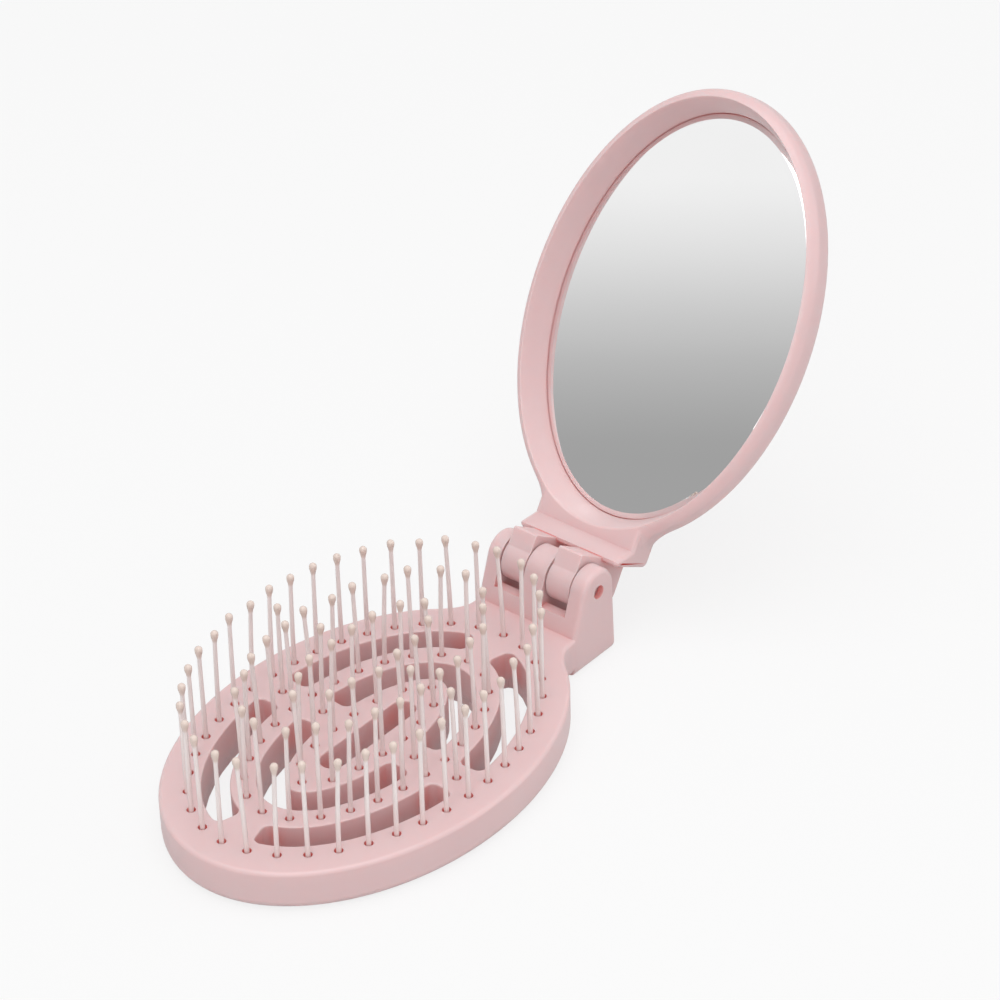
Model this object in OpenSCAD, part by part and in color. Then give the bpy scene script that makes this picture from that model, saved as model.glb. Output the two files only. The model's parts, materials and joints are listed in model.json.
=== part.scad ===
// Folding pocket hairbrush with mirror, millimetres.
// The brush half lies on its flat back. The origin is the centre of that oval back,
// +X runs along the brush to the hinge, and +Z is the side with the quills.
// The mirror half is drawn in its own frame, with its origin on the hinge axis and its
// face up, as it lies when the brush is opened flat, and is then turned up about that axis.

/* [Oval halves] */
// Length of each oval half
oval_len = 88; // [84:1:100]
// Width of each oval half
oval_wid = 61.8; // [60:0.2:72]
// Thickness of each half
half_thick = 8.1; // [7.6:0.1:9]
// Radius of the rounded front edge of the brush half
brush_front_round = 0.8; // [0.4:0.1:1.2]
// Radius of the rounded back edge of the brush half
brush_back_round = 2; // [1:0.1:2.4]
// Radius of the rounded front edge of the mirror half
mirror_front_round = 2.6; // [0.8:0.1:2.7]
// Radius of the rounded back edge of the mirror half
mirror_back_round = 4.6; // [2:0.1:4.7]
// Points round each oval
oval_points = 88; // [48:4:120]

/* [Hinge] */
// Distance from the hinge axis to the middle of each half
reach = 52.5; // [51.5:0.1:60]
// Height of the hinge axis above the back of the brush
axis_height = 15.2; // [14.8:0.1:17]
// Width of the neck and hinge
neck_wid = 23.8; // [22.4:0.2:26]
// Radius of the rounded ears
ear_radius = 4.6; // [4.2:0.1:4.8]
// Distance from the hinge axis to the foot of the sloping front of the ears
front_foot = 7.3; // [6.5:0.1:8]
// How far the back of the ears slopes out on its way down
ear_draft = 0.6; // [0:0.1:0.8]
// Radius of the edges of the ears and the neck
ear_edge = 1; // [0.9:0.05:1.2]
// Width of the middle ear
mid_ear_wid = 4.7; // [4:0.1:5.4]
// Width of each tongue of the mirror half
tongue_wid = 5.5; // [4:0.1:5.6]
// Radius of a tongue round the pin
tongue_radius = 4.5; // [4.2:0.1:4.7]
// Distance from the hinge axis to the flat front of a tongue
tongue_front = 3.9; // [3.6:0.1:4.1]
// Distance from the hinge axis to the back of a tongue
tongue_back = 11.7; // [9:0.1:12]
// Distance from the hinge axis to the end face of the mirror's neck
end_face = 5; // [4.9:0.1:5.6]
// Distance from the back of the mirror half to the back of its neck
neck_step = 1.3; // [0.8:0.1:2.5]
// Gap on each side of a tongue
side_gap = 0.35; // [0.2:0.05:0.6]
// Gap between the halves where they turn past each other
turn_gap = 0.3; // [0.2:0.05:0.5]
// Diameter of the hinge pin
pin_dia = 2.8; // [2:0.1:3.4]
// Depth of the ends of the pin below the sides of the ears
pin_inset = 1.2; // [0.5:0.1:2.5]
// Radial clearance of the pin in the ears
pin_press = 0.02; // [0.01:0.01:0.05]
// Radial clearance of the pin in the tongues
pin_play = 0.05; // [0.03:0.01:0.1]
// Angle at which the halves stand open, 0 is closed and 180 is flat
open_angle = 122.5; // [0:0.5:180]

/* [Quills] */
// Quills on the outer row
outer_count = 38; // [20:2:42]
// Quills on the middle row
middle_count = 26; // [12:2:30]
// Quills on the inner row
inner_count = 14; // [6:2:16]
// Distance from the rim to the outer row at the ends of the oval
row_end_inset = 5.4; // [5:0.1:6]
// Distance from the rim to the outer row at the sides of the oval
row_side_inset = 5; // [4.8:0.1:6]
// Distance between rows at the ends of the oval
row_end_pitch = 10.4; // [10:0.1:11]
// Distance between rows at the sides of the oval
row_side_pitch = 9.95; // [9.8:0.05:10.4]
// Height of the quills above the face
quill_height = 19.9; // [10:0.1:20]
// Diameter of a quill at its foot
quill_dia = 0.95; // [0.6:0.05:1.2]
// Diameter of a quill under its ball
quill_tip_dia = 0.8; // [0.5:0.05:1]
// Diameter of the ball on the end of a quill
ball_dia = 1.5; // [1.2:0.05:1.8]
// Length over which the ball narrows to the quill
drop_len = 1.8; // [1:0.1:2.5]
// Diameter of the holes in which the quills stand
quill_hole_dia = 1.7; // [1.5:0.05:2]
// Depth from the face to the thick root of a quill
root_depth = 1.8; // [0.8:0.1:3]
// Radial clearance of a root in its hole
root_play = 0.02; // [0.01:0.01:0.05]

/* [Vents] */
// Width of the vents between the rows
vent_wid = 5.1; // [4:0.1:5.4]
// Radius of the corners of the vents
vent_corner = 1.5; // [0.5:0.1:1.9]
// Width of the bridges across the vents at the sides
side_bridge = 7.4; // [6:0.1:9]
// Width of the bridges across the vents at the ends
end_bridge = 7; // [6:0.1:9]
// Length of the vent in the centre
centre_vent_len = 24; // [16:0.5:26]
// Width of the vent in the centre
centre_vent_wid = 4.9; // [4:0.1:5.4]

/* [Back plate] */
// Thickness of the vented plate in the back of the brush
plate_thick = 1.8; // [1.2:0.1:2.4]
// Width of the rim round the plate
plate_rim = 3; // [2.8:0.1:3.2]
// Gap round the plate
plate_gap = 0.1; // [0.05:0.01:0.2]

/* [Mirror] */
// Depth from the rim of the frame to the glass
recess_depth = 6.2; // [5.8:0.1:6.3]
// Thickness of the glass
glass_thick = 1; // [0.8:0.1:1.1]
// Thickness of the adhesive film
pad_thick = 0.2; // [0.1:0.05:0.3]
// Distance from the edge of the glass to the edge of the film
pad_margin = 2; // [1:0.5:6]
// Width of the rim of the frame at the ends of the oval
rim_end_wid = 2; // [1.8:0.1:2.4]
// Width of the rim of the frame at the sides of the oval
rim_side_wid = 1.9; // [1.7:0.1:2.2]
// How far the wall of the recess leans in on its way down
wall_lean = 1.9; // [0.8:0.1:2]
// Gap round the glass
glass_gap = 0.2; // [0.1:0.05:0.4]
// Width of the bevel round the glass
glass_bevel = 1; // [0.4:0.1:1.4]
// Depth of the bevel round the glass
bevel_depth = 0.4; // [0.2:0.1:0.6]

/* [Hidden] */

pink = [0.86, 0.62, 0.62];
quill_tint = [0.87, 0.79, 0.77];
steel = [0.72, 0.72, 0.73];
silver = [0.80, 0.82, 0.84];
film_grey = [0.35, 0.35, 0.36];

semi_len = oval_len / 2;
semi_wid = oval_wid / 2;
half_neck = neck_wid / 2;
pin_radius = pin_dia / 2;
rim_level = half_thick - axis_height;
back_level = -axis_height;
tilt = 180 - open_angle;
// How far a cutting shape runs past the surface that it cuts
past = 1;
// Steps in the rounded edges at the back and at the front
back_steps = 4;
front_steps = 3;

// --- Ovals ----------------------------------------------------------------------------

function on_oval(a, b, t) = [a * cos(t), b * sin(t)];
function speed(a, b, t) = norm([a * sin(t), b * cos(t)]);
function outward(a, b, t) = [b * cos(t), a * sin(t)] / speed(a, b, t);
function oval(a, b) = [for (i = [0 : oval_points - 1]) on_oval(a, b, 360 * i / oval_points)];

// Arc length against angle, and from it the points that share an oval out evenly
arc_steps = 240;
function arc_table(a, b) = [for (i = 0, s = 0; i <= arc_steps;
    s = s + speed(a, b, 360 * (i + 0.5) / arc_steps) * 2 * PI / arc_steps, i = i + 1)
    [s, 360 * i / arc_steps]];
function even_row(a, b, count) = let (table = arc_table(a, b), total = table[arc_steps][0])
    [for (i = [0 : count - 1]) on_oval(a, b, lookup(total * i / count, table))];

// --- Lofts ----------------------------------------------------------------------------

// Outline moved inwards; it runs anticlockwise
function moved_in(outline, d) = let (n = len(outline)) [for (i = [0 : n - 1])
    let (chord = outline[(i + 1) % n] - outline[(i + n - 1) % n])
    outline[i] + d / norm(chord) * [-chord[1], chord[0]]];

// Height and inset of each ring of an edge that is rounded at both ends
function edge_rings(low, high, low_round, high_round) = concat(
    [for (i = [0 : back_steps]) let (t = 90 * i / back_steps)
        [low + low_round * (1 - cos(t)), low_round * (1 - sin(t))]],
    [for (i = [front_steps : -1 : 0]) let (t = 90 * i / front_steps)
        [high - high_round * (1 - cos(t)), high_round * (1 - sin(t))]]);

// Solid through a stack of rings, each a list of points with its height
module loft(rings) {
    n = len(rings[0]);
    last = len(rings) - 1;
    sides = [for (k = [0 : last - 1]) for (i = [0 : n - 1]) let (j = (i + 1) % n)
        for (f = [[k * n + i, (k + 1) * n + i, (k + 1) * n + j],
                  [k * n + i, (k + 1) * n + j, k * n + j]]) f];
    polyhedron(
        [for (ring = rings) each ring],
        concat([[for (i = [0 : n - 1]) i]], [[for (i = [n - 1 : -1 : 0]) last * n + i]], sides),
        convexity = 4);
}

// Slab of an outline with rounded edges, standing on the XY plane
module rounded_slab(outline, low, high, low_round, high_round)
    loft([for (ring = edge_rings(low, high, low_round, high_round))
        [for (p = moved_in(outline, ring[1])) [p[0], p[1], ring[0]]]]);

// Slab of an outline that is drawn in the XZ plane, from one Y to another
module upright_slab(outline, from_y, to_y, edge)
    rotate([90, 0, 0]) rounded_slab(outline, -to_y, -from_y, edge, edge);

// --- The outline that both halves share -----------------------------------------------

// The oval runs out into the neck along two parabolas, which leave it at this angle and
// end tangent to the straight sides of the neck. The slab of the neck stays a hair inside
// the block that carries the ears, on its sides and its back.
hair = 0.05;
slab_neck = half_neck - hair;
leave_angle = 30;
leave = on_oval(semi_len, semi_wid, leave_angle);
flare_len = 2 * (leave[1] - slab_neck) * semi_len * sin(leave_angle)
    / (semi_wid * cos(leave_angle));
flare_steps = 6;
function flare(i, side) = let (k = 1 - i / flare_steps)
    [leave[0] + flare_len * (1 - k), side * (slab_neck + (leave[1] - slab_neck) * k * k)];
// Part of the points of an oval that falls on its open stretch
open_points = round(oval_points * (1 - 2 * leave_angle / 360));
function half_outline(steps, tail) = concat(
    [for (i = [0 : open_points])
        on_oval(semi_len, semi_wid, leave_angle + (360 - 2 * leave_angle) * i / open_points)],
    [for (i = [1 : steps]) flare(i, -1)],
    tail,
    [for (i = [steps : -1 : 1]) flare(i, 1)]);

// --- Rows of quills and vents ---------------------------------------------------------

function row_axes(k) = [semi_len - row_end_inset - k * row_end_pitch,
    semi_wid - row_side_inset - k * row_side_pitch];
outer_row = even_row(row_axes(0)[0], row_axes(0)[1], outer_count);
middle_row = even_row(row_axes(1)[0], row_axes(1)[1], middle_count);
inner_row = even_row(row_axes(2)[0], row_axes(2)[1], inner_count);
outer_vent = row_axes(0.5);
inner_vent = row_axes(1.5);
bridge_spots = [for (y = [outer_vent[1], inner_vent[1]]) for (side = [-1, 1]) [0, side * y]];
quill_spots = concat(outer_row, middle_row, inner_row, bridge_spots);

// Vent along an oval between two angles. Its corners are drawn as quarter circles of arc
// length and width, and then bent round the oval.
corner_steps = 3;
function bent(axes, t, turn, back, out) = let (u = t - turn * back * 180 / PI
    / speed(axes[0], axes[1], t))
    on_oval(axes[0], axes[1], u) + out * outward(axes[0], axes[1], u);
function vent(axes, start, stop, wid, steps) = let (h = wid / 2, r = vent_corner, flat = h - r,
    run_in = r * 180 / PI / speed(axes[0], axes[1], start),
    run_out = r * 180 / PI / speed(axes[0], axes[1], stop),
    first = start + run_in, last = stop - run_out,
    arc = [for (i = [0 : corner_steps]) 90 * i / corner_steps]) concat(
    [for (i = [1 : steps - 1])
        bent(axes, first + (last - first) * i / steps, 1, 0, h)],
    [for (a = arc) bent(axes, stop, 1, r * (1 - sin(a)), flat + r * cos(a))],
    [for (a = arc) bent(axes, stop, 1, r * (1 - cos(a)), -flat - r * sin(a))],
    [for (i = [steps - 1 : -1 : 1])
        bent(axes, first + (last - first) * i / steps, 1, 0, -h)],
    [for (a = arc) bent(axes, start, -1, r * (1 - sin(a)), -flat - r * cos(a))],
    [for (a = arc) bent(axes, start, -1, r * (1 - cos(a)), flat + r * sin(a))]);

module vents() {
    outer_start = asin(end_bridge / 2 / outer_vent[1]);
    outer_stop = acos(side_bridge / 2 / outer_vent[0]);
    inner_stop = acos(side_bridge / 2 / inner_vent[0]);
    for (x = [0, 1]) mirror([x, 0]) {
        for (y = [0, 1]) mirror([0, y])
            polygon(vent(outer_vent, outer_start, outer_stop, vent_wid, 10));
        polygon(vent(inner_vent, -inner_stop, inner_stop, vent_wid, 18));
    }
    square([centre_vent_len - centre_vent_wid, centre_vent_wid], center = true);
    for (x = [-1, 1]) translate([x * (centre_vent_len - centre_vent_wid) / 2, 0])
        circle(d = centre_vent_wid, $fn = 32);
}

// --- Hinge ----------------------------------------------------------------------------

tongue_mid = mid_ear_wid / 2 + side_gap + tongue_wid / 2;
// Where the front of the ears, which slopes down from their rounded tops, meets the face.
// The block that they grow from is carried on below it, to end inside the slab.
foot = [-front_foot, rim_level];
touch_angle = atan2(foot[1], foot[0]) + 360 - acos(ear_radius / norm(foot));
touch = ear_radius * [cos(touch_angle), sin(touch_angle)];
sunk_foot = foot + 0.15 * (foot - touch);
block_level = back_level + hair;
ear_back = ear_radius + ear_draft;
heel = 1.2;
quarter_steps = 6;

function arc(radius, start, stop, steps) = [for (i = [0 : steps])
    let (t = start + (stop - start) * i / steps) radius * [cos(t), sin(t)]];

// Outline of the ears in the XZ plane, about the hinge axis
ear_outline = concat(
    [for (p = arc(heel, -90, 0, 3)) [ear_back - heel, block_level + heel] + p],
    arc(ear_radius, 0, 90, quarter_steps),
    arc(ear_radius, 90, touch_angle, quarter_steps),
    [sunk_foot, [sunk_foot[0], block_level]]);

// Outline of a tongue: round at the pin, flat in front and on top, and at the back round
// about the pin so that it turns inside its slot
tongue_top = end_face + 0.8;
tongue_edge = 0.3;
back_arc = tongue_back + 0.15;
// How far a tongue runs into the neck
tongue_root = end_face + ear_draft + 1;
tongue_outline = concat(
    [[tongue_root, -tongue_back], [tongue_root, -tongue_radius],
        [tongue_top, 1.2 - tongue_radius], [tongue_top, tongue_front - tongue_edge],
        [tongue_top - tongue_edge, tongue_front], [0, tongue_front],
        tongue_radius * [cos(186), sin(186)]],
    arc(back_arc, 262, 272, 4));
corner_radius = norm([tongue_top, tongue_front]);

// Outline of the neck of the mirror half: a ramp up from the rim, a rounded edge, and the
// end face that comes up against the back of the ears when the brush is opened flat
neck_back = back_level + neck_step;
neck_heel = 0.9;
neck_end = end_face + ear_draft;
ramp_foot = 8.5;
ramp_top = -3.1;
neck_outline = [[neck_end + neck_heel, neck_back], [2 * ramp_foot, neck_back],
    [1.5 * ramp_foot, rim_level], [ramp_foot, rim_level],
    [ramp_foot - 2, ramp_top - 0.5], [ramp_foot - 2.5, ramp_top],
    [end_face + 0.4, ramp_top - 0.15], [end_face, ramp_top - 0.8],
    [neck_end, neck_back + neck_heel]];

module at_hinge() translate([reach, 0, axis_height]) children();
module mirror_half() at_hinge() rotate([0, -tilt, 0]) children();

module crosswise(radius, length)
    rotate([90, 0, 0]) cylinder(r = radius, h = length, center = true, $fn = 48);

// Space in which a tongue turns: round where its front corner swings, then down behind
// the lip to the floor
module tongue_slot() {
    wid = tongue_wid + 2 * side_gap;
    lip = -tongue_front - turn_gap;
    lip_back = 0.65 - tongue_radius;
    floor_level = -back_arc - turn_gap;
    rotate([90, 0, 0]) linear_extrude(wid, center = true) {
        intersection() {
            circle(corner_radius + turn_gap, $fn = 64);
            translate([-2 * corner_radius, lip]) square(4 * corner_radius);
        }
        polygon([[lip_back, lip], [lip_back / 2, floor_level],
            [ear_back + past, floor_level], [ear_back + past, ear_radius + past],
            [lip_back, ear_radius + past]]);
    }
}

// --- Brush half -----------------------------------------------------------------------

module quill_holes()
    for (spot = quill_spots) translate([spot[0], spot[1], plate_thick - past])
        cylinder(d = quill_hole_dia, h = half_thick, $fn = 16);

// Slab and ears as one moulding, as high as the tops of the ears
module brush_moulding()
    resize([0, 0, axis_height + ear_radius]) union() {
        rounded_slab(half_outline(flare_steps, [[reach, -slab_neck], [reach, slab_neck]]),
            0, half_thick, brush_back_round, brush_front_round);
        at_hinge() upright_slab(ear_outline, -half_neck, half_neck, ear_edge);
    }

module brush_frame() color(pink) difference() {
    brush_moulding();
    translate([0, 0, -past]) linear_extrude(half_thick + 2 * past) vents();
    translate([0, 0, -past]) linear_extrude(plate_thick + past)
        polygon(oval(semi_len - plate_rim, semi_wid - plate_rim));
    quill_holes();
    at_hinge() {
        for (side = [-1, 1]) translate([0, side * tongue_mid, 0]) tongue_slot();
        crosswise(pin_radius + pin_press, neck_wid + 2 * past);
    }
}

module brush_back() color(pink) linear_extrude(plate_thick) difference() {
    polygon(oval(semi_len - plate_rim - plate_gap, semi_wid - plate_rim - plate_gap));
    vents();
}

// Quill, with a thick root that stands on the back plate and fills its hole to just below
// the face, and a ball that narrows to the stem like a drop. The cone of the drop touches
// the ball at this angle above its middle line.
drop_angle = -20;
module quill() {
    root_top = half_thick - root_depth;
    root_radius = quill_hole_dia / 2 - root_play;
    tip = half_thick + quill_height;
    ball = ball_dia / 2;
    rotate_extrude($fn = 16) intersection() {
        union() {
            polygon([[0, plate_thick], [root_radius, plate_thick],
                [root_radius, root_top], [quill_dia / 2, root_top],
                [quill_tip_dia / 2, tip - ball - drop_len],
                [ball * cos(drop_angle), tip - ball + ball * sin(drop_angle)],
                [0, tip - ball]]);
            translate([0, tip - ball]) circle(ball, $fn = 24);
        }
        square([quill_hole_dia, tip + past]);
    }
}

module quills(spots) color(quill_tint) for (spot = spots) translate(spot) quill();
module outer_quills() quills(outer_row);
module middle_quills() quills(middle_row);
module inner_quills() quills(inner_row);
module bridge_quills() quills(bridge_spots);

module hinge_pin() color(steel) at_hinge() crosswise(pin_radius, neck_wid - 2 * pin_inset);

// --- Mirror half ----------------------------------------------------------------------

module tongue() rotate([90, 0, 0]) linear_extrude(tongue_wid, center = true) {
    circle(tongue_radius, $fn = 64);
    polygon(tongue_outline);
}

open_axes = [semi_len - rim_end_wid, semi_wid - rim_side_wid];
foot_axes = open_axes - [wall_lean, wall_lean];
glass_axes = foot_axes - [glass_gap, glass_gap];
seat_level = rim_level - recess_depth - glass_thick - pad_thick;
// Height of the straight foot of the recess wall above the front of the glass
wall_foot = 0.4;
// Radius of the inner edge of the rim
crest_round = 0.6;
crest_steps = 2;

function oval_at(axes, level) = [for (p = oval(axes[0], axes[1])) [p[0], p[1], level]];
function grown(axes, d) = axes + [d, d];

module glass_recess() loft(concat(
    [oval_at(foot_axes, seat_level), oval_at(foot_axes, rim_level - recess_depth + wall_foot)],
    [for (i = [0 : crest_steps]) let (t = 90 * i / crest_steps)
        oval_at(grown(open_axes, crest_round * (1 - cos(t))),
            rim_level - crest_round * (1 - sin(t)))],
    [oval_at(grown(open_axes, crest_round), rim_level + past)]));

// Where the slab ends inside the neck
slab_end = reach - neck_end - 0.2;

// Slab and neck as one moulding, as high as the top of the ramp
module mirror_moulding()
    resize([0, 0, ramp_top - back_level]) union() {
        translate([reach, 0, 0]) rotate([0, 0, 180])
            rounded_slab(half_outline(flare_steps - 1,
                    [[slab_end, -slab_neck], [slab_end, slab_neck]]),
                back_level, rim_level, mirror_back_round, mirror_front_round);
        upright_slab(neck_outline, -half_neck, half_neck, ear_edge);
    }

module mirror_frame() color(pink) mirror_half() difference() {
    union() {
        mirror_moulding();
        for (side = [-1, 1]) translate([0, side * tongue_mid, 0]) tongue();
    }
    translate([reach, 0, 0]) glass_recess();
    crosswise(pin_radius + pin_play, neck_wid);
}

module mirror_glass() color(silver) mirror_half() translate([reach, 0, 0])
    loft([oval_at(glass_axes, seat_level + pad_thick),
        oval_at(glass_axes, rim_level - recess_depth - bevel_depth),
        oval_at(grown(glass_axes, -glass_bevel), rim_level - recess_depth)]);

module mirror_pad() color(film_grey) mirror_half() translate([reach, 0, seat_level])
    linear_extrude(pad_thick)
        polygon(oval(glass_axes[0] - pad_margin, glass_axes[1] - pad_margin));

brush_frame();
brush_back();
outer_quills();
middle_quills();
inner_quills();
bridge_quills();
hinge_pin();
mirror_frame();
mirror_glass();
mirror_pad();
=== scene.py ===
import json
from math import acos, asin, atan2, cos, degrees, pi, radians, sin, sqrt

import bmesh
import bpy
from mathutils import Matrix, Quaternion, Vector

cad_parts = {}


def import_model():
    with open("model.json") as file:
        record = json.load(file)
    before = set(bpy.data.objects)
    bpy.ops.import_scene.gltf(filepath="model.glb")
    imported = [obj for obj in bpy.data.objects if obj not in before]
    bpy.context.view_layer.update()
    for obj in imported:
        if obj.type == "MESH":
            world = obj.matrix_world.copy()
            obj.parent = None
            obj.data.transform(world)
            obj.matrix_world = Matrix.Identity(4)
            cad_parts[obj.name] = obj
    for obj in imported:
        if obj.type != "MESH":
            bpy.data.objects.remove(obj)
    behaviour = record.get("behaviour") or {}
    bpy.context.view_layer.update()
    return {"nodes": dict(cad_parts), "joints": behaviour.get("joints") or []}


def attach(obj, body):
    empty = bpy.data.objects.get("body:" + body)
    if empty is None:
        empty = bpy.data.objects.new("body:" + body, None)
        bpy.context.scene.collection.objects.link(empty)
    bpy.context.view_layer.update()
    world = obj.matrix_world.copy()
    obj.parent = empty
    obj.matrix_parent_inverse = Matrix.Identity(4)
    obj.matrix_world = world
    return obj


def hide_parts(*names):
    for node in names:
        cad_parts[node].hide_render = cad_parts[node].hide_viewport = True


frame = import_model()
MM = 0.001  # the scene is in metres

# --- Sizes of the hairbrush, in millimetres ---------------------------------------------

SEMI_LEN, SEMI_WID = 44.0, 30.9
FACE = 8.1  # height of the face of the brush, and thickness of the mirror's frame
HINGE_X, HINGE_Z = (1000 * frame["joints"][0]["pos_m"][i] for i in (0, 2))
OPEN_TILT = -frame["joints"][0]["range_deg"][0]  # from flat up to the rest pose
RIM, BACK = FACE - HINGE_Z, -HINGE_Z  # levels of the faces and backs, from the hinge axis
LEAVE_ANGLE = 30.0  # where the outline leaves the oval for the neck
HALF_NECK, SLAB_NECK = 11.9, 11.85  # the slabs stay a hair inside the hinge blocks
NECK_END = 5.6  # end face of the mirror's neck, from the hinge axis
EAR, EAR_BACK = 4.6, 5.2  # radius of the ears, and how far back they reach at their foot
EAR_EDGE = 1.0  # rounding of the sides of the ears and of the neck
MID_EAR, TONGUE, SIDE_GAP = 4.7, 5.5, 0.35  # widths along the pin
TONGUE_MID = MID_EAR / 2 + SIDE_GAP + TONGUE / 2
TONGUE_TOP, TONGUE_FRONT, TONGUE_BACK = 5.8, 3.9, 11.85  # reach from the hinge axis
TURN_GAP = 0.3  # clearance in which the tongues turn
BRUSH_BORE, MIRROR_BORE = 1.42, 1.45  # radius of the pin's hole in each half
BEYOND = 1.0  # by which a cutting shape passes the face that it cuts


# --- Building blocks --------------------------------------------------------------------


def nothing_selected():
    if bpy.context.mode != "OBJECT":
        bpy.ops.object.mode_set(mode="OBJECT")
    bpy.ops.object.select_all(action="DESELECT")


def only(piece):
    """Selects one piece alone and makes it the active one."""
    nothing_selected()
    piece.select_set(True)
    bpy.context.view_layer.objects.active = piece


def edit(piece):
    """Goes into edit mode on one piece with nothing selected in it."""
    only(piece)
    bpy.ops.object.mode_set(mode="EDIT")
    bpy.ops.mesh.select_mode(type="EDGE")
    bpy.ops.mesh.select_all(action="DESELECT")
    return bmesh.from_edit_mesh(piece.data)


def done(piece):
    bmesh.update_edit_mesh(piece.data)
    bpy.ops.object.mode_set(mode="OBJECT")
    return piece


def plate(name, outline, low, high, upright=False):
    """Plate of an outline in mm. It lies flat from low to high, or stands upright across
    the brush, with its outline in X and Z and its thickness along Y."""
    nothing_selected()
    bpy.ops.mesh.primitive_circle_add(vertices=len(outline), fill_type="NGON")
    piece = bpy.context.object
    piece.name = piece.data.name = name
    for vertex, (u, v) in zip(piece.data.vertices, outline):
        vertex.co = Vector((u, low, v) if upright else (u, v, low)) * MM
    rise = Vector((0, high - low, 0) if upright else (0, 0, high - low)) * MM
    bpy.ops.object.mode_set(mode="EDIT")
    bpy.ops.mesh.select_all(action="SELECT")
    bpy.ops.mesh.extrude_region_move(TRANSFORM_OT_translate={"value": rise})
    bpy.ops.mesh.select_all(action="SELECT")
    bpy.ops.mesh.normals_make_consistent(inside=False)
    return done(piece)


def stack(name, rings):
    """Solid through a stack of rings of points in mm, which all have as many points."""
    nothing_selected()
    bpy.ops.mesh.primitive_circle_add(vertices=len(rings[0]), fill_type="NGON")
    piece = bpy.context.object
    piece.name = piece.data.name = name
    for vertex, point in zip(piece.data.vertices, rings[0]):
        vertex.co = Vector(point) * MM
    bpy.ops.object.mode_set(mode="EDIT")
    bpy.ops.mesh.select_mode(type="VERT")
    bpy.ops.mesh.select_all(action="SELECT")
    for ring in rings[1:]:
        bpy.ops.mesh.extrude_region_move()
        mesh = bmesh.from_edit_mesh(piece.data)
        top = [vertex for vertex in mesh.verts if vertex.select]
        for vertex, point in zip(top, ring):
            vertex.co = Vector(point) * MM
        bmesh.update_edit_mesh(piece.data)
    bpy.ops.mesh.select_all(action="SELECT")
    bpy.ops.mesh.normals_make_consistent(inside=False)
    return done(piece)


def moved_in(outline, inset):
    """Outline moved inwards; it runs anticlockwise."""
    moved = []
    for i, (x, y) in enumerate(outline):
        (x1, y1), (x2, y2) = outline[i - 1], outline[(i + 1) % len(outline)]
        chord = sqrt((x2 - x1) ** 2 + (y2 - y1) ** 2)
        moved.append((x - inset * (y2 - y1) / chord, y + inset * (x2 - x1) / chord))
    return moved


def slab(name, outline, low, high, low_round, high_round, steps=8, upright=False):
    """Slab of an outline in mm with rounded edges. It lies flat from low to high, or stands
    upright across the brush."""
    quarter = [pi / 2 * i / steps for i in range(steps + 1)]
    edge = [(low + low_round * (1 - cos(a)), low_round * (1 - sin(a))) for a in quarter]
    edge += [(high - high_round * (1 - cos(a)), high_round * (1 - sin(a)))
             for a in quarter[::-1]]
    return stack(name, [[(x, -level, y) if upright else (x, y, level)
                         for x, y in moved_in(outline, inset)] for level, inset in edge])


def round_edges(piece, wanted, radius, segments):
    """Rounds the edges of a piece that the test picks, each given as its two ends in mm and
    the normals of the faces beside it."""
    mesh = edit(piece)
    for edge in mesh.edges:
        ends = [vertex.co / MM for vertex in edge.verts]
        if wanted(ends, [face.normal for face in edge.link_faces]):
            edge.select_set(True)
    bmesh.update_edit_mesh(piece.data)
    bpy.ops.mesh.bevel(offset=radius * MM, segments=segments, affect="EDGES",
                       clamp_overlap=True)
    done(piece)


def modifier(piece, kind, **settings):
    """Adds a modifier with its settings and applies it."""
    only(piece)
    bpy.ops.object.modifier_add(type=kind)
    added = piece.modifiers[-1]
    for key, value in settings.items():
        setattr(added, key, value)
    bpy.ops.object.modifier_apply(modifier=added.name)


def combine(piece, others, operation):
    """Joins other solids to a piece, or cuts them out of it."""
    for other in others:
        modifier(piece, "BOOLEAN", object=other, operation=operation, solver="EXACT")
        bpy.data.objects.remove(other)


def joined(name, parts):
    """One object made of several."""
    nothing_selected()
    for part in parts:
        part.select_set(True)
    bpy.context.view_layer.objects.active = parts[0]
    if len(parts) > 1:
        bpy.ops.object.join()
    piece = bpy.context.object
    piece.name = piece.data.name = name
    return piece


def to_hinge(piece, turn=0.0):
    """Turns a piece about the Y axis, in degrees, and moves it from the origin to the hinge
    axis."""
    only(piece)
    piece.matrix_world = (Matrix.Translation(Vector((HINGE_X, 0, HINGE_Z)) * MM)
                          @ Matrix.Rotation(radians(turn), 4, "Y"))
    bpy.ops.object.transform_apply()


def smooth(piece, angle=32.0):
    """Smooth shading that keeps flat faces flat."""
    only(piece)
    bpy.ops.object.shade_smooth_by_angle(angle=radians(angle))
    modifier(piece, "WEIGHTED_NORMAL", keep_sharp=True, weight=90)
    return piece


def arc(centre, radius, start, stop, steps):
    return [(centre[0] + radius * cos(radians(start + (stop - start) * i / steps)),
             centre[1] + radius * sin(radians(start + (stop - start) * i / steps)))
            for i in range(steps + 1)]


def on_oval(axes, angle):
    return axes[0] * cos(radians(angle)), axes[1] * sin(radians(angle))


def oval_speed(axes, angle):
    """Length along an oval for each radian of its angle."""
    return sqrt((axes[0] * sin(radians(angle))) ** 2 + (axes[1] * cos(radians(angle))) ** 2)


# --- Outline of both halves -------------------------------------------------------------


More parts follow.
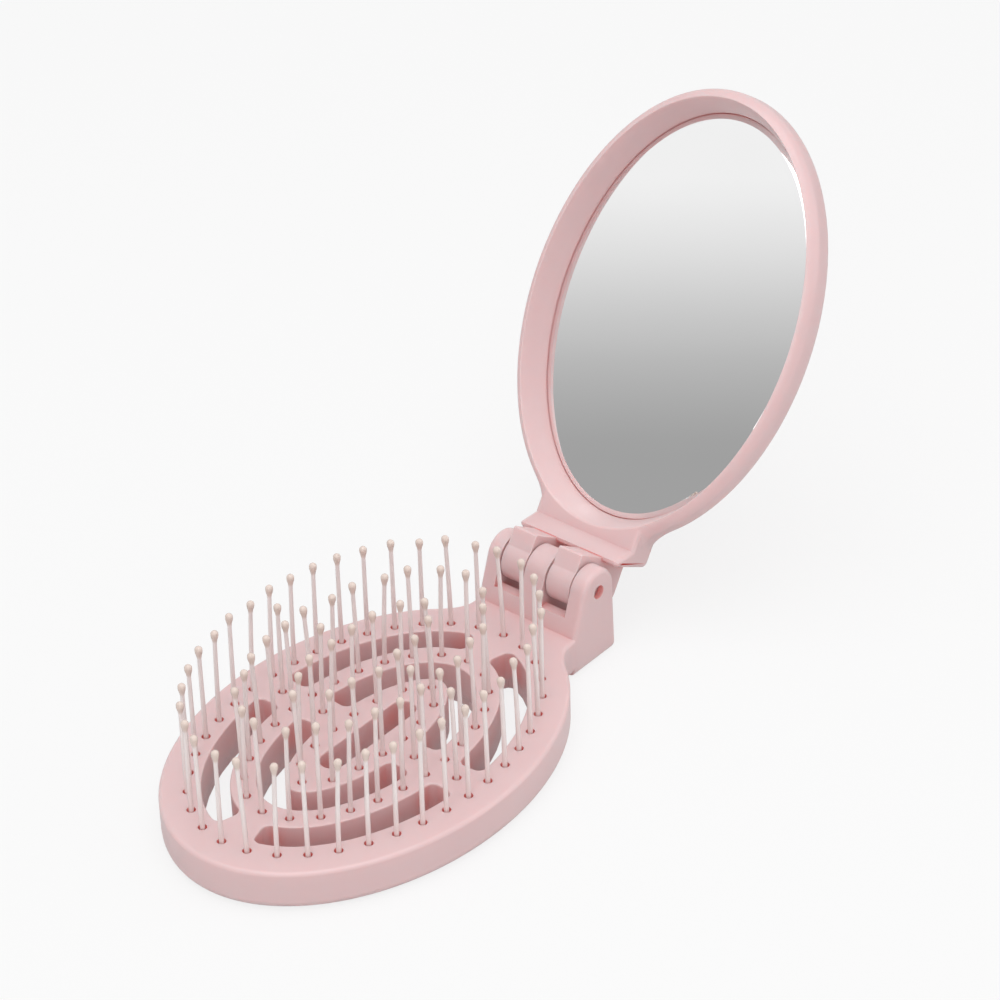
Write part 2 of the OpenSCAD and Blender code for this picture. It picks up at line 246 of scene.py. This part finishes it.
def half_outline(neck_end, points=150, flare_steps=12):
    """Oval that runs out into its neck along two parabolas."""
    axes = (SEMI_LEN, SEMI_WID)
    leave = on_oval(axes, LEAVE_ANGLE)
    slope = SEMI_WID * cos(radians(LEAVE_ANGLE)) / (SEMI_LEN * sin(radians(LEAVE_ANGLE)))
    length = 2 * (leave[1] - SLAB_NECK) / slope
    oval = [on_oval(axes, LEAVE_ANGLE + (360 - 2 * LEAVE_ANGLE) * i / points)
            for i in range(points + 1)]
    flare = [(leave[0] + length * i / flare_steps,
              SLAB_NECK + (leave[1] - SLAB_NECK) * (1 - i / flare_steps) ** 2)
             for i in range(1, flare_steps + 1)]
    return (oval + [(x, -y) for x, y in flare]
            + [(neck_end, -SLAB_NECK), (neck_end, SLAB_NECK)] + flare[::-1])


# --- Rows of quills and vents -----------------------------------------------------------

ROW_INSET, ROW_PITCH = (5.4, 5.0), (10.4, 9.95)
ROWS = {"outer_quills": (0, 38), "middle_quills": (1, 26), "inner_quills": (2, 14)}


def row_axes(k):
    return tuple(semi - inset - k * pitch for semi, inset, pitch
                 in zip((SEMI_LEN, SEMI_WID), ROW_INSET, ROW_PITCH))


def even_row(axes, count, steps=2400):
    """Points that share the length of an oval out evenly."""
    lengths = [0.0]
    for i in range(steps):
        lengths.append(lengths[-1] + oval_speed(axes, 360 * (i + 0.5) / steps))
    spots, i = [], 0
    for k in range(count):
        while lengths[i] < lengths[-1] * k / count:
            i += 1
        spots.append(on_oval(axes, 360 * i / steps))
    return spots


OUTER_VENT, INNER_VENT = row_axes(0.5), row_axes(1.5)
SPOTS = {name: even_row(row_axes(k), count) for name, (k, count) in ROWS.items()}
SPOTS["bridge_quills"] = [(0, side * vent[1]) for vent in (OUTER_VENT, INNER_VENT)
                          for side in (-1, 1)]
VENT_WID, VENT_CORNER = 5.1, 1.5
END_BRIDGE, SIDE_BRIDGE = 7.0, 7.4
CENTRE_LEN, CENTRE_WID = 24.0, 4.9


def vent_outline(axes, start, stop, steps):
    """Vent along an oval between two angles, with its corners rounded."""
    half = VENT_WID / 2
    flat = half - VENT_CORNER

    def bent(angle, back, out):
        turned = angle - degrees(back / oval_speed(axes, angle))
        speed = oval_speed(axes, turned)
        x, y = on_oval(axes, turned)
        return (x + out * axes[1] * cos(radians(turned)) / speed,
                y + out * axes[0] * sin(radians(turned)) / speed)

    first = start + degrees(VENT_CORNER / oval_speed(axes, start))
    last = stop - degrees(VENT_CORNER / oval_speed(axes, stop))
    run = [first + (last - first) * i / steps for i in range(1, steps)]
    quarter = [radians(15 * i) for i in range(7)]
    return ([bent(angle, 0, half) for angle in run]
            + [bent(stop, VENT_CORNER * (1 - sin(a)), flat + VENT_CORNER * cos(a))
               for a in quarter]
            + [bent(stop, VENT_CORNER * (1 - cos(a)), -flat - VENT_CORNER * sin(a))
               for a in quarter]
            + [bent(angle, 0, -half) for angle in run[::-1]]
            + [bent(start, -VENT_CORNER * (1 - sin(a)), -flat - VENT_CORNER * cos(a))
               for a in quarter]
            + [bent(start, -VENT_CORNER * (1 - cos(a)), flat + VENT_CORNER * sin(a))
               for a in quarter])


def vent_outlines():
    outer_start = degrees(asin(END_BRIDGE / 2 / OUTER_VENT[1]))
    outer_stop = degrees(acos(SIDE_BRIDGE / 2 / OUTER_VENT[0]))
    inner_stop = degrees(acos(SIDE_BRIDGE / 2 / INNER_VENT[0]))
    quarter = vent_outline(OUTER_VENT, outer_start, outer_stop, 20)
    side = vent_outline(INNER_VENT, -inner_stop, inner_stop, 36)
    found = [[(x * sx, y * sy) for x, y in quarter][::sx * sy]
             for sx in (1, -1) for sy in (1, -1)]
    found += [side, [(-x, y) for x, y in side][::-1]]
    shift, radius = (CENTRE_LEN - CENTRE_WID) / 2, CENTRE_WID / 2
    found.append(arc((shift, 0), radius, -90, 90, 14) + arc((-shift, 0), radius, 90, 270, 14))
    return found


# --- Brush half -------------------------------------------------------------------------

BRUSH_BACK_ROUND, BRUSH_FACE_ROUND = 2.0, 0.8
EAR_FOOT, EAR_HEEL = 7.3, 1.2  # where the ears' slope meets the face, and their heel's round
SLOPE_SUNK = 0.15  # share of its length by which the slope runs on into the shell
HAIR = 0.05  # by which the bottom of the ears clears the plane of the shell's bottom
VENTED_OVAL = (37.0, 24.5)  # edges of the face inside this oval belong to vents
VENT_ROUND = 0.3
PLATE_MARGIN, PLATE_THICK = 3.0, 1.8  # of the plate that is let into the back
HOLE, HOLE_DEPTH, HOLE_MID = 0.85, 8.0, 5.5  # radius, depth and middle of a quill's hole
SLOT_LIP, SLOT_FOOT = 3.85, 1.925  # how far before the axis the slot's lip and floor begin


def ear_profile():
    """Outline of the ears about the hinge axis: round over the pin, sloping in front, with
    a rounded heel."""
    foot, bottom = (-EAR_FOOT, RIM), BACK + HAIR
    reach = sqrt(foot[0] ** 2 + foot[1] ** 2)
    touch = degrees(atan2(foot[1], foot[0])) + 360 - degrees(acos(EAR / reach))
    lead = (EAR * cos(radians(touch)), EAR * sin(radians(touch)))
    sunk = tuple(f + SLOPE_SUNK * (f - t) for f, t in zip(foot, lead))
    return (arc((EAR_BACK - EAR_HEEL, bottom + EAR_HEEL), EAR_HEEL, -90, 0, 8)
            + arc((0, 0), EAR, 0, touch, 44) + [sunk, (sunk[0], bottom)])


def on_vent(ends, normals):
    """Whether an edge is one at which a vent meets the face."""
    return all(abs(end.z - FACE) < 1e-3
               and (end.x / VENTED_OVAL[0]) ** 2 + (end.y / VENTED_OVAL[1]) ** 2 < 1
               for end in ends) and len(normals) == 2 and min(n.z for n in normals) < 0.5


def quill_holes():
    holes = []
    for spot in (spot for spots in SPOTS.values() for spot in spots):
        nothing_selected()
        bpy.ops.mesh.primitive_cylinder_add(
            vertices=20, radius=HOLE * MM, depth=HOLE_DEPTH * MM,
            location=Vector((*spot, HOLE_MID)) * MM)
        holes.append(bpy.context.object)
    cutter = joined("holes", holes)
    only(cutter)
    bpy.ops.object.transform_apply()
    return cutter


def brush_shell():
    shell = slab("brush_shell", half_outline(HINGE_X), 0, FACE, BRUSH_BACK_ROUND,
                 BRUSH_FACE_ROUND)
    ears = slab("ears", ear_profile(), -HALF_NECK, HALF_NECK, EAR_EDGE, EAR_EDGE, 6,
                upright=True)
    to_hinge(ears)
    vents = joined("vents", [plate("vent", outline, -BEYOND, FACE + BEYOND)
                             for outline in vent_outlines()])
    combine(shell, [ears], "UNION")
    combine(shell, [vents], "DIFFERENCE")
    round_edges(shell, on_vent, VENT_ROUND, 3)
    seat = (SEMI_LEN - PLATE_MARGIN, SEMI_WID - PLATE_MARGIN)
    back = plate("back", [on_oval(seat, 2.5 * i) for i in range(144)], -BEYOND, PLATE_THICK)
    holes = quill_holes()
    slots = joined("slots", [plate("slot", slot_profile(), side * TONGUE_MID - TONGUE / 2
                                   - SIDE_GAP, side * TONGUE_MID + TONGUE / 2 + SIDE_GAP,
                                   upright=True) for side in (-1, 1)])
    to_hinge(slots)
    combine(shell, [back, holes, slots, bore(BRUSH_BORE)], "DIFFERENCE")
    return smooth(shell)


def bore(radius):
    """Solid for the hole of the hinge pin, right across the hinge."""
    nothing_selected()
    bpy.ops.mesh.primitive_cylinder_add(
        vertices=48, radius=radius * MM, depth=30 * MM, rotation=(pi / 2, 0, 0),
        location=(HINGE_X * MM, 0, HINGE_Z * MM))
    piece = bpy.context.object
    bpy.ops.object.transform_apply()
    return piece


def slot_profile():
    """Space in which a tongue turns: round where its corner swings, then down behind the
    lip to the floor."""
    swing = sqrt(TONGUE_TOP ** 2 + TONGUE_FRONT ** 2) + TURN_GAP
    lip, floor_level = -TONGUE_FRONT - TURN_GAP, -TONGUE_BACK - TURN_GAP
    lip_x = -sqrt(swing ** 2 - lip ** 2)
    return ([(lip_x, lip), (-SLOT_LIP, lip), (-SLOT_FOOT, floor_level),
             (EAR_BACK + BEYOND, floor_level), (EAR_BACK + BEYOND, 0)]
            + arc((0, 0), swing, 40, degrees(atan2(lip, lip_x)) + 360, 36)[:-1])


# --- Mirror half, drawn opened flat about the hinge axis --------------------------------

MIRROR_BACK_ROUND, MIRROR_FACE_ROUND = 3.4, 2.6
RECESS, GLASS_THICK, PAD_THICK = 6.2, 1.0, 0.2
RIM_END, RIM_SIDE = 2.0, 1.9  # width of the rim at the ends and at the sides
WALL_LEAN, WALL_STEP = 1.9, 0.4  # slope of the recess's wall, and where it starts
CREST = 0.6  # rounding of the rim's inner edge
GLASS_GAP = 0.2  # between the glass and the foot of the wall
BEVEL, BEVEL_DEPTH = 1.0, 0.4
SLAB_STEP, SLAB_HEEL = 1.2, 2.3  # the slab ends behind the neck's end, with a round heel
NECK_STEP, NECK_CORNER, NECK_SUNK = 1.3, 0.9, 0.02  # in from the back, and under the face
NECK_LIP = [(6.5, -3.6), (6.0, -3.1), (5.4, -3.25), (5.0, -3.9)]
TONGUE_ROOT, TONGUE_ROUND, TONGUE_CORNER = 6.6, 4.5, 0.3
TONGUE_EDGE = 0.12  # rounding of the sides of the tongues
OPENING = (SEMI_LEN - RIM_END, SEMI_WID - RIM_SIDE)
WALL_FOOT = (OPENING[0] - WALL_LEAN, OPENING[1] - WALL_LEAN)
GLASS = (WALL_FOOT[0] - GLASS_GAP, WALL_FOOT[1] - GLASS_GAP)
SEAT = RIM - RECESS - GLASS_THICK - PAD_THICK


def oval_ring(axes, grow, level, count=240):
    """Ring of points round the middle of the mirror."""
    return [(x + HINGE_X, y, level) for x, y in
            (on_oval((axes[0] + grow, axes[1] + grow), 360 * i / count)
             for i in range(count))]


def neck_profile():
    """Outline of the neck: its end face, and the ramp up to it from the face."""
    back, face = BACK + NECK_STEP, RIM - NECK_SUNK
    return ([(NECK_END + NECK_CORNER, back), (17.0, back), (12.75, face), (8.5, face)]
            + NECK_LIP + [(NECK_END, back + NECK_CORNER)])


def tongue_profile():
    """Outline of a tongue: round at the pin, flat in front and on top."""
    round_from = degrees(asin(TONGUE_FRONT / TONGUE_ROUND))
    return ([(TONGUE_ROOT, -11.7), (TONGUE_ROOT, -4.5), (TONGUE_TOP, -3.3),
             (TONGUE_TOP, TONGUE_FRONT - TONGUE_CORNER),
             (TONGUE_TOP - TONGUE_CORNER, TONGUE_FRONT)]
            + arc((0, 0), TONGUE_ROUND, round_from, 186, 24)
            + arc((0, 0), TONGUE_BACK, 262, 272, 4))


def mirror_shell():
    outline = [(HINGE_X - x, -y) for x, y in half_outline(HINGE_X + 8)]
    shell = slab("mirror_shell", outline, BACK, RIM, MIRROR_BACK_ROUND, MIRROR_FACE_ROUND, 12)
    end, low, high, far, wide = NECK_END + SLAB_STEP, BACK - BEYOND, RIM + BEYOND, -12, 14
    heel = arc((end + SLAB_HEEL, BACK + SLAB_HEEL), SLAB_HEEL, 270, 180, 8)
    beyond = plate("beyond", [(far, low), (heel[0][0], low)] + heel
                   + [(end, high), (far, high)], -wide, wide, upright=True)
    combine(shell, [beyond], "DIFFERENCE")
    neck = slab("neck", neck_profile(), -HALF_NECK, HALF_NECK, EAR_EDGE, EAR_EDGE, 6,
                upright=True)
    combine(shell, [neck], "UNION")
    for side in (-1, 1):
        middle = side * TONGUE_MID
        tongue = slab("tongue", tongue_profile(), middle - TONGUE / 2, middle + TONGUE / 2,
                      TONGUE_EDGE, TONGUE_EDGE, 3, upright=True)
        combine(shell, [tongue], "UNION")
    turns = [radians(a) for a in (0, 20, 40, 60, 75, 90)]
    crest = [oval_ring(OPENING, CREST * (1 - cos(a)), RIM - CREST * (1 - sin(a)))
             for a in turns]
    recess = stack("recess", [oval_ring(WALL_FOOT, 0, SEAT),
                              oval_ring(WALL_FOOT, 0, RIM - RECESS + WALL_STEP)]
                   + crest + [oval_ring(OPENING, CREST, high)])
    combine(shell, [recess], "DIFFERENCE")
    to_hinge(shell, turn=-OPEN_TILT)
    combine(shell, [bore(MIRROR_BORE)], "DIFFERENCE")
    return smooth(shell)


def looking_glass():
    """Glass with a polished bevel round its front."""
    front = RIM - RECESS
    glass = stack("looking_glass", [oval_ring(GLASS, 0, SEAT + PAD_THICK),
                                    oval_ring(GLASS, 0, front - BEVEL_DEPTH),
                                    oval_ring(GLASS, -BEVEL, front)])
    to_hinge(glass, turn=-OPEN_TILT)
    return smooth(glass, angle=10)


# --- Quills -----------------------------------------------------------------------------

QUILL_TOP = FACE + 19.9
ROOT, ROOT_SUNK = 0.83, 1.8  # radius of the root, and how far under the face it ends
BALL = 0.75
OUTER_ROW = 0.6  # beyond this share of the oval a quill never leans outwards
BEND = 1.4  # power of the height with which the lean grows


def quill():
    """Nylon quill: a thick root, a thin stem that tapers, and a drop-shaped ball."""
    root, ball_mid = FACE - ROOT_SUNK, QUILL_TOP - BALL
    profile = [(PLATE_THICK, ROOT), (root - 0.3, ROOT), (root, 0.6), (root + 0.3, 0.48),
               (FACE + 6, 0.45), (FACE + 12, 0.42), (ball_mid - 1.9, 0.4),
               (ball_mid - 1.2, 0.5), (ball_mid - 0.55, 0.68)]
    profile += [(ball_mid + BALL * sin(radians(a)), BALL * cos(radians(a)))
                for a in (-12, 12, 36, 60, 80)]
    turn = [radians(30 * i) for i in range(12)]
    return stack("quill", [[(radius * cos(a), radius * sin(a), z) for a in turn]
                           for z, radius in profile])


def lean_of(k, spot):
    """How far the top of a quill leans, in mm: a repeatable scatter, never outwards on the
    outer row."""
    x = 0.55 * sin(12.9898 * k + 4.1) + 0.25 * sin(3.7 * k)
    y = 0.55 * sin(78.233 * k + 1.7) + 0.25 * sin(5.3 * k + 2)
    edge = (spot[0] / SEMI_LEN) ** 2 + (spot[1] / SEMI_WID) ** 2
    if edge > OUTER_ROW:
        outward = Vector((spot[0], spot[1])).normalized()
        push = max(0.0, x * outward.x + y * outward.y)
        x, y = x - push * outward.x, y - push * outward.y
    return x, y


def quill_row(name, spots, first):
    model = quill()
    row = []
    for k, spot in enumerate(spots):
        only(model)
        bpy.ops.object.duplicate()
        copy = bpy.context.object
        x, y = lean_of(first + k, spot)
        for vertex in copy.data.vertices:
            rise = max(0.0, (vertex.co.z / MM - FACE) / (QUILL_TOP - FACE))
            vertex.co.x += (spot[0] + x * rise ** BEND) * MM
            vertex.co.y += (spot[1] + y * rise ** BEND) * MM
        row.append(copy)
    bpy.data.objects.remove(model)
    row = joined(name + "_row", row)
    only(row)
    bpy.ops.object.shade_smooth_by_angle(angle=radians(40))
    return row


# --- Materials --------------------------------------------------------------------------


class Socket:
    """A value or colour on its way through a material, on which sums can be written."""

    def __init__(self, tree, link):
        self.tree, self.link = tree, link

    def _maths(self, operation, first, second):
        node = self.tree.nodes.new("ShaderNodeMath")
        node.operation = operation
        for slot, value in zip(node.inputs, (first, second)):
            if isinstance(value, Socket):
                self.tree.links.new(value.link, slot)
            else:
                slot.default_value = value
        return Socket(self.tree, node.outputs[0])

    def __add__(self, other):
        return self._maths("ADD", self, other)

    __radd__ = __add__

    def __mul__(self, other):
        return self._maths("MULTIPLY", self, other)

    __rmul__ = __mul__


class Nodes:
    """Node tree of a material or of the world."""

    def __init__(self, tree):
        self.tree = tree

    def node(self, kind, settings=None, output=0, **sockets):
        """One node. Sockets are given by name, with _ for a space, or as s and a number."""
        made = self.tree.nodes.new(kind)
        for key, value in (settings or {}).items():
            if key == "stops":
                ramp = made.color_ramp
                ramp.elements.remove(ramp.elements[1])
                ramp.elements[0].position, ramp.elements[0].color = value[0]
                for position, colour in value[1:]:
                    ramp.elements.new(position).color = colour
            else:
                setattr(made, key, value)
        for key, value in sockets.items():
            slot = made.inputs[int(key[1:]) if key[1:].isdigit() else key.replace("_", " ")]
            if isinstance(value, Socket):
                self.tree.links.new(value.link, slot)
            else:
                slot.default_value = value
        return Socket(self.tree, made.outputs[output])

    def split(self, factor, first, second):
        """One shader or the other."""
        return self.node("ShaderNodeMixShader", s0=factor, s1=first, s2=second)

    def ray(self, kind):
        return self.node("ShaderNodeLightPath", output=kind)

    def output(self, value):
        out = next(node for node in self.tree.nodes if node.type.startswith("OUTPUT"))
        self.tree.links.new(value.link, out.inputs["Surface"])


class Finish(Nodes):
    """Material built round one Principled shader."""

    def __init__(self, name, **constants):
        self.material = bpy.data.materials.new(name)
        self.material.use_nodes = True
        super().__init__(self.material.node_tree)
        self.shader = self.tree.nodes["Principled BSDF"]
        for key, value in constants.items():
            self.shader.inputs[key.replace("_", " ")].default_value = value

    def feed(self, slot, value):
        self.tree.links.new(value.link, self.shader.inputs[slot])

    def place(self):
        """Position on the piece, in metres."""
        return self.node("ShaderNodeTexCoord", output=3)

    def noise(self, scale, detail):
        return self.node("ShaderNodeTexNoise", Vector=self.place(), Scale=scale,
                         Detail=detail)

    def mixed(self, factor, first, second):
        return self.node("ShaderNodeMix", {"data_type": "RGBA"}, output=2, s0=factor,
                         s6=first, s7=second)

    def relief(self, height, strength, distance):
        bump = self.node("ShaderNodeBump", Height=height, Strength=strength,
                         Distance=distance)
        self.feed("Normal", bump)

    def openness(self, reach):
        """One in the open and nought deep in a hollow, over a reach in mm: the mask by which
        shade is painted into hollows.
        """
        return self.node("ShaderNodeAmbientOcclusion", {"samples": 8, "only_local": True},
                         output=1, Distance=reach * MM)


def linear(red, green, blue):
    """sRGB values from 0 to 255 as a linear colour."""
    def one(v):
        v /= 255
        return v / 12.92 if v <= 0.04045 else ((v + 0.055) / 1.055) ** 2.4
    return one(red), one(green), one(blue), 1.0


def pink_plastic():
    finish = Finish("pearly_pink_plastic", Roughness=0.34, Subsurface_Weight=0.35,
                    Subsurface_Radius=(0.004, 0.0018, 0.0016), Subsurface_Scale=1.0,
                    IOR=1.49, Coat_Weight=0.15, Coat_Roughness=0.2,
                    Emission_Strength=1.0)
    pearl = finish.mixed(finish.noise(60, 3), linear(217, 186, 187), linear(221, 192, 192))
    # Painted shade: hollows, creases and quill holes get a deep red base colour by ambient
    # occlusion, standing in for their shade and pink bounce light
    painted_shade_glow_mask = finish.node("ShaderNodeMapRange", Value=finish.openness(6), s1=0.05, s2=0.8)
    finish.feed("Base Color", finish.mixed(painted_shade_glow_mask, linear(214, 110, 102), pearl))
    # Painted glow: the same hollows also emit a faint red light, standing in for light
    # bounced between the pink walls
    finish.feed("Emission Color", finish.mixed(painted_shade_glow_mask, (0.11, 0.016, 0.014, 1),
                                               (0, 0, 0, 1)))
    finish.feed("Roughness", 0.3 + 0.08 * finish.noise(900, 2))
    finish.relief(finish.noise(1600, 2), 0.05, 0.0001)
    return finish.material


def milky_nylon():
    finish = Finish("milky_nylon", Roughness=0.15, IOR=1.45, Transmission_Weight=0.12)
    height = finish.node("ShaderNodeSeparateXYZ", output=2, Vector=finish.place())
    ball = finish.node("ShaderNodeMapRange", Value=height, s1=(QUILL_TOP - 2.6) * MM,
                       s2=(QUILL_TOP - 1.9) * MM)
    low = finish.node("ShaderNodeMapRange", Value=height, s1=FACE * MM,
                      s2=(FACE + 9) * MM)
    stem = finish.mixed(low, linear(238, 216, 214), linear(250, 240, 238))
    finish.feed("Base Color", finish.mixed(ball, stem, linear(232, 214, 204)))
    finish.feed("Roughness", 0.1 + 0.1 * finish.noise(700, 2))
    return finish.material


def silvered_glass():
    finish = Finish("silvered_glass", Metallic=1.0, Roughness=0.015)
    finish.feed("Base Color", finish.mixed(finish.noise(40, 1), linear(243, 243, 243),
                                           linear(246, 246, 246)))
    return finish.material


def drawn_steel():
    finish = Finish("drawn_steel", Metallic=1.0, Roughness=0.3)
    finish.feed("Base Color", finish.mixed(finish.noise(500, 2), linear(190, 190, 192),
                                           linear(214, 214, 216)))
    finish.feed("Roughness", 0.24 + 0.14 * finish.noise(900, 2))
    return finish.material


def adhesive_film():
    finish = Finish("adhesive_film", Roughness=0.6)
    finish.feed("Base Color", finish.mixed(finish.noise(800, 3), linear(80, 80, 82),
                                           linear(110, 110, 112)))
    return finish.material


def dress(piece, material):
    piece.data.materials.clear()
    piece.data.materials.append(material)


# --- Stage, lights and camera -----------------------------------------------------------

# Grey of the studio that the mirror shows, by how far a ray looks along REFLECTED
REFLECTED = (0.571, 0.334, 0.749)
GREYS = ((0.0118, 161), (0.0176, 162.5), (0.0235, 167), (0.0294, 172.5), (0.0353, 178.5),
         (0.0412, 185), (0.047, 193), (0.0529, 200), (0.0588, 207.5), (0.0647, 215),
         (0.0706, 222), (0.0765, 228), (0.0882, 238), (0.094, 241))
SPREAD = 10  # spreads those distances over the colour ramp
MIRROR_SHARE = 0.92  # share of the light that comes back from the glass

CAMERA_PLACE, CAMERA_AIM = (-0.35741, -0.33565, 0.38069), (0.03865, 0, 0.0384)
CAMERA_ROLL, CAMERA_LENS = 1.597, 122.4  # in degrees, and in mm on a 36 mm sensor


def floor():
    nothing_selected()
    bpy.ops.mesh.primitive_plane_add(size=6)
    piece = bpy.context.object
    piece.name = "floor"
    piece.location.z = -0.0002
    finish = Finish("pale_floor", Roughness=0.9)
    finish.feed("Base Color", finish.mixed(finish.noise(3, 2), linear(218, 218, 218),
                                           linear(221, 221, 221)))
    glow = finish.node("ShaderNodeEmission", Color=(1, 1, 1, 1), Strength=1.0)
    finish.output(finish.split(0.8 * finish.ray("Is Camera Ray"),
                               Socket(finish.tree, finish.shader.outputs[0]), glow))
    dress(piece, finish.material)


def world():
    """Soft light from all round, white to the camera, and grey bands in the mirror."""
    made = bpy.data.worlds.new("studio")
    bpy.context.scene.world = made
    made.use_nodes = True
    sky = Nodes(made.node_tree)
    along = sky.node("ShaderNodeVectorMath", {"operation": "DOT_PRODUCT"}, output="Value",
                     s0=sky.node("ShaderNodeTexCoord"), s1=REFLECTED)
    stops = [(SPREAD * t, [v / MIRROR_SHARE for v in linear(grey, grey, grey)[:3]] + [1])
             for t, grey in GREYS]
    bands = sky.node("ShaderNodeValToRGB", {"stops": stops}, s0=SPREAD * along)
    ambient = sky.node("ShaderNodeBackground", Color=(1, 1, 1, 1), Strength=0.55)
    mirrored = sky.node("ShaderNodeBackground", Color=bands)
    white = sky.node("ShaderNodeBackground", Color=(1, 1, 1, 1))
    sky.output(sky.split(sky.ray("Is Camera Ray"),
                         sky.split(sky.ray("Is Glossy Ray"), ambient, mirrored), white))


def lamp(name, place, aim, size, power):
    nothing_selected()
    bpy.ops.object.light_add(type="AREA", location=place)
    light = bpy.context.object
    light.name = name
    light.data.size = size
    light.data.energy = power
    toward = Vector(aim) - Vector(place)
    light.rotation_euler = toward.to_track_quat("-Z", "Y").to_euler()


def lights():
    lamp("overhead", (-0.1, -0.1, 0.9), (0.03, 0, 0.02), 0.9, 5.0)
    lamp("front_left", (-0.8, -0.5, 0.5), (0.03, 0, 0.03), 0.6, 1.8)
    lamp("right_fill", (0.6, -0.7, 0.4), (0.03, 0, 0.03), 0.6, 1.0)


def camera():
    nothing_selected()
    bpy.ops.object.camera_add(location=CAMERA_PLACE)
    view = bpy.context.object
    toward = Vector(CAMERA_AIM) - Vector(CAMERA_PLACE)
    view.rotation_mode = "QUATERNION"
    view.rotation_quaternion = (toward.to_track_quat("-Z", "Y")
                                @ Quaternion((0, 0, 1), -radians(CAMERA_ROLL)))
    view.data.sensor_width = 36
    view.data.lens = CAMERA_LENS
    view.data.clip_start = 0.01
    view.data.clip_end = 20
    bpy.context.scene.camera = view


# --- The scene --------------------------------------------------------------------------

bpy.context.scene.view_settings.view_transform = "Standard"
camera()
floor()
world()
lights()

pink = pink_plastic()
nylon = milky_nylon()
silver = silvered_glass()
steel = drawn_steel()
film = adhesive_film()

pieces = [
    (brush_shell(), "brush", "brush_frame", "shell", pink),
    (mirror_shell(), "mirror", "mirror_frame", "shell", pink),
    (looking_glass(), "mirror", "mirror_glass", "mirror", silver),
]
first = 0
for row, spots in SPOTS.items():
    pieces.append((quill_row(row, spots, first), "brush", row, "quills", nylon))
    first += len(spots)
for piece, body, node, slot, material in pieces:
    dress(piece, material)
    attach(piece, body)
    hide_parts(node)
for node, material in (("brush_back", pink), ("hinge_pin", steel), ("mirror_pad", film)):
    dress(frame["nodes"][node], material)
